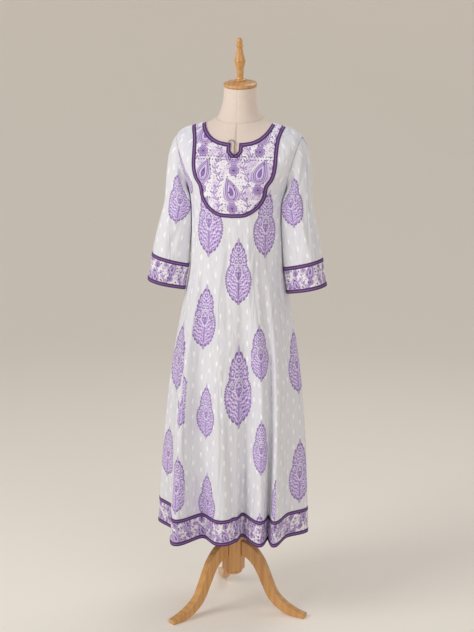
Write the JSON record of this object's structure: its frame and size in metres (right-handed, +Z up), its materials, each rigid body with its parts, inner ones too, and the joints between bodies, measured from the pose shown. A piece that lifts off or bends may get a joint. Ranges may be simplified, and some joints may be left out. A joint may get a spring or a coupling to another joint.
{
  "type": "anarkali gown on a dress form",
  "caption": "Flared, panelled cotton gown with a set-in yoke, banded sleeves and a banded hem, worn by a limbless dress form on a wooden tripod stand.",
  "frame": {"origin": "on the floor, under the middle of the whole outline", "axes": "+Z up, the gown's front faces -Y, +X is the viewer's right"},
  "size_m": [0.5514, 0.4706, 1.775],
  "materials": {
    "form_fabric": "fine cream jersey, matt",
    "wood": "light wood, clear lacquer",
    "white_cloth": "white cotton dobby with block-printed lavender motifs",
    "printed_cloth": "white cotton printed with lavender paisleys",
    "purple_tape": "woven purple tape, slight sheen"
  },
  "bodies": {
    "root": {"form_body": "form_fabric", "neck_cap": "wood", "finial": "wood", "pole": "wood", "hub": "wood", "hub_foot": "wood", "leg_rear": "wood", "leg_left": "wood", "leg_right": "wood", "yoke": "printed_cloth", "front_panel": "white_cloth", "back_panel": "white_cloth", "sleeve_left": "white_cloth", "sleeve_right": "white_cloth", "cuff_band_left": "printed_cloth", "cuff_band_right": "printed_cloth", "hem_band_front": "printed_cloth", "hem_band_back": "printed_cloth", "neck_trim_front": "purple_tape", "neck_trim_back": "purple_tape", "yoke_trim": "purple_tape", "cuff_trim_upper_left": "purple_tape", "cuff_trim_lower_left": "purple_tape", "cuff_trim_upper_right": "purple_tape", "cuff_trim_lower_right": "purple_tape", "hem_trim_upper_front": "purple_tape", "hem_trim_lower_front": "purple_tape", "hem_trim_upper_back": "purple_tape", "hem_trim_lower_back": "purple_tape"}
  },
  "joints": []
}
